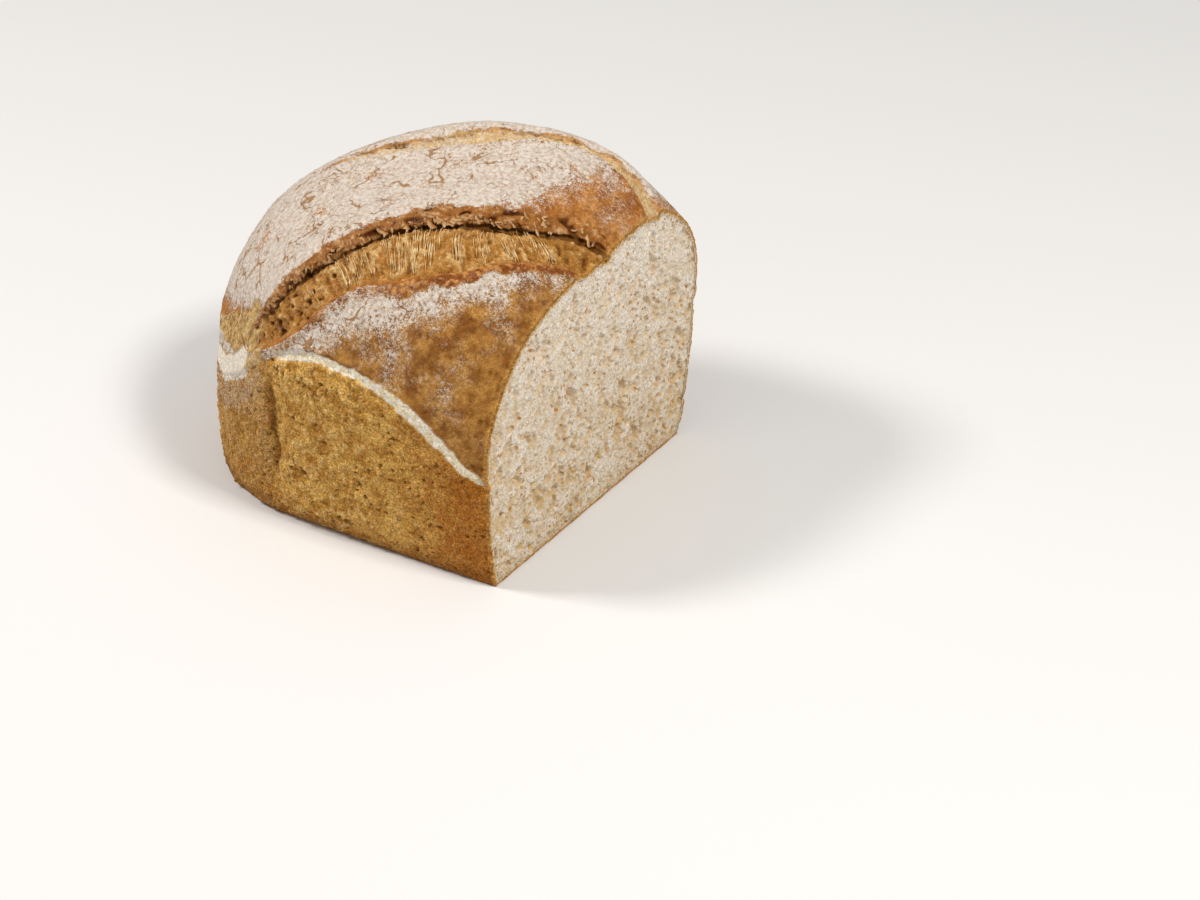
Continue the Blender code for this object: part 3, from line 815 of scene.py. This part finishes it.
drawn_crumb, drawn_shader = new_material("drawn_golden_crumb", 0.75, 0.3)
place = add_node(drawn_crumb, "ShaderNodeTexCoord", output="Object")
toasting = add_node(drawn_crumb, "ShaderNodeTexNoise", output="Fac",
                    inputs={"Vector": place, "Scale": per_metre(3.0), "Detail": 2.0})
strength = add_node(drawn_crumb, "ShaderNodeMapRange", output="Result",
                    inputs={"Value": toasting, "From Min": 0.35, "From Max": 0.65})
colour = add_node(drawn_crumb, "ShaderNodeMix", output="Result_Color", data_type="RGBA",
                  inputs={"Factor_Float": strength, "A_Color": linear("#c08a42"),
                          "B_Color": linear("#f0d7a3")})
drawn_crumb.node_tree.links.new(colour, drawn_shader.inputs["Base Color"])
show("drawn_threads", as_mesh(threads, "drawn_threads"), drawn_crumb)


# Flakes of the ear's and the lip's crust: dough stretched thin before it tore, so the edges curl out
# over the slash as small brown flaps, paler and ragged along their free side
FLAP_THICKNESS = 0.12 * MM
FLAP_SUNK = 0.15 * MM
ASLANT = Vector((1.0, 0.6, 0.3))    # a flap's faces are sorted this way, to be the same in each run


def curl_flake(mesh, place, along, droop, outward, length, depth):
    """Add a thin curled flap, fixed along one side at a place and ragged along the other."""
    flap = bmesh.new()
    bmesh.ops.create_grid(flap, x_segments=5, y_segments=3, size=0.5)
    rim = flap.verts.layers.float.new("rim")
    for vert in flap.verts:
        aside, out = vert.co.x, vert.co.y + 0.5
        jag = 0.65 + 0.6 * noise.noise(Vector((place.x / MM + 4 * aside, place.y / MM, 3.0)))
        spread_out = 1 - 0.35 * out * (2 * aside) ** 2
        bend = 1.3 * out
        vert.co = place + along * (aside * length * spread_out)
        vert.co += (droop * math.sin(0.5 + bend) + outward * math.cos(0.5 + bend)) * (out * depth * jag)
        vert[rim] = out
    everything = flap.faces[:] + flap.edges[:] + flap.verts[:]
    bmesh.ops.solidify(flap, geom=everything, thickness=FLAP_THICKNESS)
    flap.faces.sort(key=lambda face: face.calc_center_median().dot(ASLANT))
    add_shape(mesh, flap)


flakes = bmesh.new()
flakes.verts.layers.float.new("rim")
not_hidden = (hidden < 0.2) & in_dome
for part, across, low, high, count, share in ((ear > 0.5, across_near, 0.72, 0.80, 80, 1.35),
                                              (ear > 0.5, across_near, 0.80, 0.95, 50, 0.9),
                                              (ear > 0.4, across_far, 0.70, 0.80, 30, 0.8),
                                              (lip > 0.5, across_near, -0.1, 0.1, 70, 0.6)):
    where = not_hidden & part & (across > low) & (across < high)
    for spot in rng.choice(np.flatnonzero(where), count):
        outward = Vector(whole_normals[spot])
        droop = Vector(down_turn[spot])
        along = outward.cross(droop).normalized()
        along = (along + 0.35 * Vector(rng.normal(size=3))).normalized()
        length = (1.2 + 4.0 * rng.random() ** 1.5) * share * MM
        depth = (0.9 + 1.6 * rng.random()) * share * MM
        place = Vector(points[spot]) - outward * FLAP_SUNK
        curl_flake(flakes, place, along, droop, outward, length, depth)
bmesh.ops.recalc_face_normals(flakes, faces=flakes.faces)
for face in flakes.faces:
    face.smooth = True

flake_crust, flake_shader = new_material("curled_brown_crust", 0.7, 0.25)
rim = add_node(flake_crust, "ShaderNodeAttribute", output="Fac", attribute_name="rim")
place = add_node(flake_crust, "ShaderNodeTexCoord", output="Object")
toasting = add_node(flake_crust, "ShaderNodeTexNoise", output="Fac",
                    inputs={"Vector": place, "Scale": per_metre(2.5), "Detail": 2.0})
paleness = add_node(flake_crust, "ShaderNodeMath", operation="MULTIPLY_ADD",
                    inputs={"Value": toasting, "Value_001": 1.2, "Value_002": rim})
strength = add_node(flake_crust, "ShaderNodeMapRange", output="Result",
                    inputs={"Value": paleness, "From Min": 0.8, "From Max": 1.75})
colour = add_node(flake_crust, "ShaderNodeMix", output="Result_Color", data_type="RGBA",
                  inputs={"Factor_Float": strength, "A_Color": linear("#955e2b"),
                          "B_Color": linear("#e4c28f")})
flake_crust.node_tree.links.new(colour, flake_shader.inputs["Base Color"])
show("crust_flakes", as_mesh(flakes, "crust_flakes"), flake_crust)


# The crumb: the cut face of the loaf, soft and off-white, with walls between bubbles of every size up
# to long ones drawn upwards as the dough rose, and flecks of bran
CRUMB_STEP = 0.36 * MM
CRUMB_SUNK = 0.12 * MM          # how far it lies behind the plane of the cut
CRUMB_MARGIN = 1.1 * MM         # and how far inside the outline it starts
BESIDE_CUT = 0.55 * MM          # farther than this from the cut's points is outside the loaf
DEEP_PORE = 1.3 * MM
TOASTED_WIDTH = 5 * MM
cap_tree = tree_of(np.flatnonzero(on_cut), points)

cap_points = points[on_cut]
low_y, low_z = cap_points[:, 1].min(), cap_points[:, 2].min()
wide, high = np.ptp(cap_points[:, 1]), np.ptp(cap_points[:, 2])
steps_y, steps_z = int(wide / CRUMB_STEP), int(high / CRUMB_STEP)
grid_y = low_y + np.arange(steps_y + 1) * CRUMB_STEP
grid_z = low_z + np.arange(steps_z + 1) * CRUMB_STEP
mesh_y, mesh_z = np.meshgrid(grid_y, grid_z, indexing="ij")
flat_places = np.stack([0 * mesh_y, mesh_y, mesh_z], axis=-1).reshape(-1, 3)
warp_y = (0.80 * MM * wander(flat_places, 1.9 * MM, 61)).reshape(mesh_y.shape)
warp_z = (0.80 * MM * wander(flat_places, 1.9 * MM, 62)).reshape(mesh_y.shape)
openness = wander(flat_places, 14 * MM, 63).reshape(mesh_y.shape)

rng = np.random.default_rng(41)
depth = np.zeros_like(mesh_y)


def blow_bubbles(count, low_size, high_size, stretch, deep, height_from=0.0):
    """Press rounded hollows into the crumb, smaller ones more often, drawn out along the rise."""
    for _ in range(count):
        size = low_size * (high_size / low_size) ** (rng.random() ** 1.7)
        centre_y = low_y + wide * rng.random()
        centre_z = low_z + high * (height_from + (1 - height_from) * rng.random())
        long = size * (1 + stretch * rng.random())
        lean = 0.15 + 0.5 * rng.normal()
        column = min(int((centre_y - low_y) / CRUMB_STEP), steps_y)
        row = min(int((centre_z - low_z) / CRUMB_STEP), steps_z)
        if size > 1.0 * MM and openness[column, row] < -0.25:
            continue
        first_y, first_z = [max(int(place), 0) for place in (column - 1.6 * long / CRUMB_STEP,
                                                             row - 1.6 * long / CRUMB_STEP)]
        window = np.s_[first_y:column + int(1.6 * long / CRUMB_STEP) + 2,
                       first_z:row + int(1.6 * long / CRUMB_STEP) + 2]
        aside = mesh_y[window] + warp_y[window] - centre_y
        above = mesh_z[window] + warp_z[window] - centre_z
        along = above * math.cos(lean) + aside * math.sin(lean)
        over = aside * math.cos(lean) - above * math.sin(lean)
        inside = 1 - (along / long) ** 2 - (over / size) ** 2
        depth[window] = np.maximum(depth[window], deep * size * np.sqrt(np.clip(inside, 0, 1)))


blow_bubbles(9500, 0.30 * MM, 0.75 * MM, 0.7, 1.1)
blow_bubbles(1300, 0.70 * MM, 1.40 * MM, 1.1, 1.2)
blow_bubbles(170, 1.2 * MM, 2.2 * MM, 1.7, 1.4, 0.12)
blow_bubbles(50, 1.3 * MM, 2.2 * MM, 2.8, 1.5, 0.08)

torn_walls = 0.16 * MM * wander(flat_places, 0.8 * MM, 64) + 0.32 * MM * wander(flat_places, 2.2 * MM, 65)
torn_walls = torn_walls.reshape(mesh_y.shape)
crumb = bmesh.new()
bmesh.ops.create_grid(crumb, x_segments=steps_y, y_segments=steps_z, size=0.5)
pore_layer = crumb.verts.layers.float.new("pore")
edge_layer = crumb.verts.layers.float.new("by_crust")
outside = []
for vert in crumb.verts:
    column = round((vert.co.x + 0.5) * steps_y)
    row = round((vert.co.y + 0.5) * steps_z)
    y, z = mesh_y[column, row], mesh_z[column, row]
    spot = Vector((cut_offset + CUT_YAW * y + CUT_LEAN * z, y, z))
    _, index, distance = cap_tree.find(spot)
    margin = inside_cut[index]
    if distance > BESIDE_CUT or margin < CRUMB_MARGIN:
        outside.append(vert)
        continue
    calm = min(max((margin - 0.8 * RIM_BAND) / (1.2 * MM), 0.0), 1.0)
    sunk = CRUMB_SUNK + calm * max(depth[column, row] + torn_walls[column, row], -0.08 * MM)
    vert.co = spot - Vector(cut_normal) * sunk
    vert[pore_layer] = min(calm * depth[column, row] / DEEP_PORE, 1.0)
    vert[edge_layer] = 1.0 - min((margin - CRUMB_MARGIN) / TOASTED_WIDTH, 1.0)
bmesh.ops.delete(crumb, geom=outside, context="VERTS")
for face in crumb.faces:
    face.smooth = True
if sum(face.normal.x for face in crumb.faces[:200]) < 0:
    bmesh.ops.reverse_faces(crumb, faces=crumb.faces)

crumb_material, crumb_shader = new_material("open_wheat_crumb", 0.9)
place = add_node(crumb_material, "ShaderNodeTexCoord", output="Object")
pore = add_node(crumb_material, "ShaderNodeAttribute", output="Fac", attribute_name="pore")
by_crust = add_node(crumb_material, "ShaderNodeAttribute", output="Fac", attribute_name="by_crust")
web = add_node(crumb_material, "ShaderNodeTexNoise", output="Fac",
               inputs={"Vector": place, "Scale": per_metre(0.7), "Detail": 3.0, "Roughness": 0.65})
haze = add_node(crumb_material, "ShaderNodeTexNoise", output="Fac",
                inputs={"Vector": place, "Scale": per_metre(8.0), "Detail": 3.0})
strength = add_node(crumb_material, "ShaderNodeMapRange", output="Result",
                    inputs={"Value": web, "From Min": 0.30, "From Max": 0.55})
wall = add_node(crumb_material, "ShaderNodeMix", output="Result_Color", data_type="RGBA",
                inputs={"Factor_Float": strength, "A_Color": linear("#c8a066"),
                        "B_Color": linear("#fffaf2")})
rise = add_node(crumb_material, "ShaderNodeSeparateXYZ", output="Z", inputs={"Vector": place})
# Painted light by height: the dull, golden and pore tints are strong low on the face, a painted warm bounce
# light, and weak at the top, painted light from above
painted_shade_by_height = add_node(crumb_material, "ShaderNodeMapRange", output="Result",
                    inputs={"Value": rise, "From Min": 5 * MM, "From Max": 115 * MM,
                            "To Min": 0.8, "To Max": 0.15})
dull = add_node(crumb_material, "ShaderNodeMapRange", output="Result",
                inputs={"Value": haze, "From Min": 0.30, "From Max": 0.65, "To Max": painted_shade_by_height})
golden = add_node(crumb_material, "ShaderNodeTexNoise", output="Fac",
                  inputs={"Vector": place, "Scale": per_metre(1.5), "Detail": 2.0})
golden = add_node(crumb_material, "ShaderNodeMapRange", output="Result",
                  inputs={"Value": golden, "From Min": 0.54, "From Max": 0.68, "To Max": painted_shade_by_height})
# Painted shade in the pores, darker gold where they are deeper
pore_shade = add_node(crumb_material, "ShaderNodeMapRange", output="Result",
                   inputs={"Value": pore, "From Min": 0.12, "From Max": 0.7, "To Max": painted_shade_by_height})
bran = add_node(crumb_material, "ShaderNodeTexVoronoi", output="Distance",
                inputs={"Vector": place, "Scale": per_metre(2.1)})
chance = add_node(crumb_material, "ShaderNodeTexVoronoi", output="Color",
                  inputs={"Vector": place, "Scale": per_metre(2.1)})
chance = add_node(crumb_material, "ShaderNodeSeparateColor", output="Red", inputs={"Color": chance})
reach_out = add_node(crumb_material, "ShaderNodeMapRange", output="Result",
                     inputs={"Value": chance, "From Min": 0.45, "From Max": 1.0, "To Max": 0.40})
fleck = add_node(crumb_material, "ShaderNodeMath", operation="SUBTRACT",
                 inputs={"Value": reach_out, "Value_001": bran})
fleck = add_node(crumb_material, "ShaderNodeMapRange", output="Result",
                 inputs={"Value": fleck, "From Min": -0.02, "From Max": 0.06, "To Max": 0.85})
toasted = add_node(crumb_material, "ShaderNodeMath", operation="POWER",
                   inputs={"Value": by_crust, "Value_001": 2.5})
toasted = add_node(crumb_material, "ShaderNodeMath", operation="MULTIPLY",
                   inputs={"Value": toasted, "Value_001": 0.35})
for strength, colour in ((dull, "#d9c39f"), (golden, "#c2914c"), (pore_shade, "#d9b67c"),
                         (fleck, "#bd863f"), (toasted, "#d3ac74")):
    wall = add_node(crumb_material, "ShaderNodeMix", output="Result_Color", data_type="RGBA",
                    inputs={"Factor_Float": strength, "A_Color": wall, "B_Color": linear(colour)})
crumb_bump = add_node(crumb_material, "ShaderNodeBump", output="Normal",
                      inputs={"Height": web, "Strength": 1.0, "Distance": 0.7 * MM})
crumb_material.node_tree.links.new(wall, crumb_shader.inputs["Base Color"])
crumb_material.node_tree.links.new(crumb_bump, crumb_shader.inputs["Normal"])

# The face is one sheet, kept as a lower and an upper half that meet point to point
LOWER_PART = 52 * MM
crumb_mesh = as_mesh(crumb, "crumb")
at_points(crumb_mesh, "whole_normal", "FLOAT_VECTOR", "vector", get_vectors(crumb_mesh, "normal"))
for name, upper in (("lower_crumb", False), ("upper_crumb", True)):
    half = bmesh.new()
    half.from_mesh(crumb_mesh)
    dropped = [face for face in half.faces
               if (face.calc_center_median().z > low_z + LOWER_PART) != upper]
    bmesh.ops.delete(half, geom=dropped, context="FACES")
    show(name, part_mesh(half, name), crumb_material)
